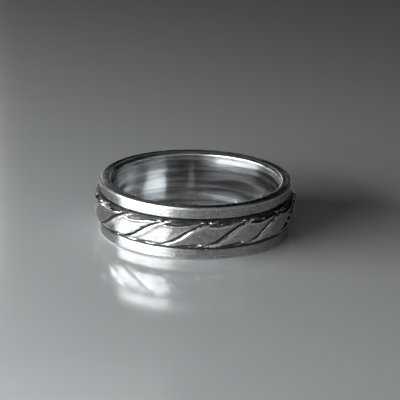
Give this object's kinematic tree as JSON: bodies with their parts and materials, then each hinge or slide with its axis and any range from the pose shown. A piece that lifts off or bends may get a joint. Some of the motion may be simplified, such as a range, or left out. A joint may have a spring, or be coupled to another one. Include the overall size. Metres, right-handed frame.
{
  "type": "spinner ring",
  "caption": "Silver finger ring whose rope-twist outer ring turns freely in a channel between the raised rims of a plain inner band.",
  "frame": {"origin": "centre of the finger hole at the lower end face, which lies on the surface", "axes": "+Z along the finger hole, up from the surface that the ring lies on; -Y towards the camera of the picture"},
  "size_m": [0.0226, 0.0226, 0.006],
  "materials": {
    "band_silver": "sterling silver, mirror-polished inside, satin and finely scratched outside",
    "spinner_silver": "sterling silver, polished strands, grooves darkened by oxide"
  },
  "bodies": {
    "band": {"band": "band_silver"},
    "spinner": {"spinner": "spinner_silver"}
  },
  "joints": [
    {"name": "spinner_turn", "type": "hinge", "parent": "band", "child": "spinner", "pos_m": [0, 0, 0.00302], "axis": [0, 0, 1], "continuous": true}
  ]
}
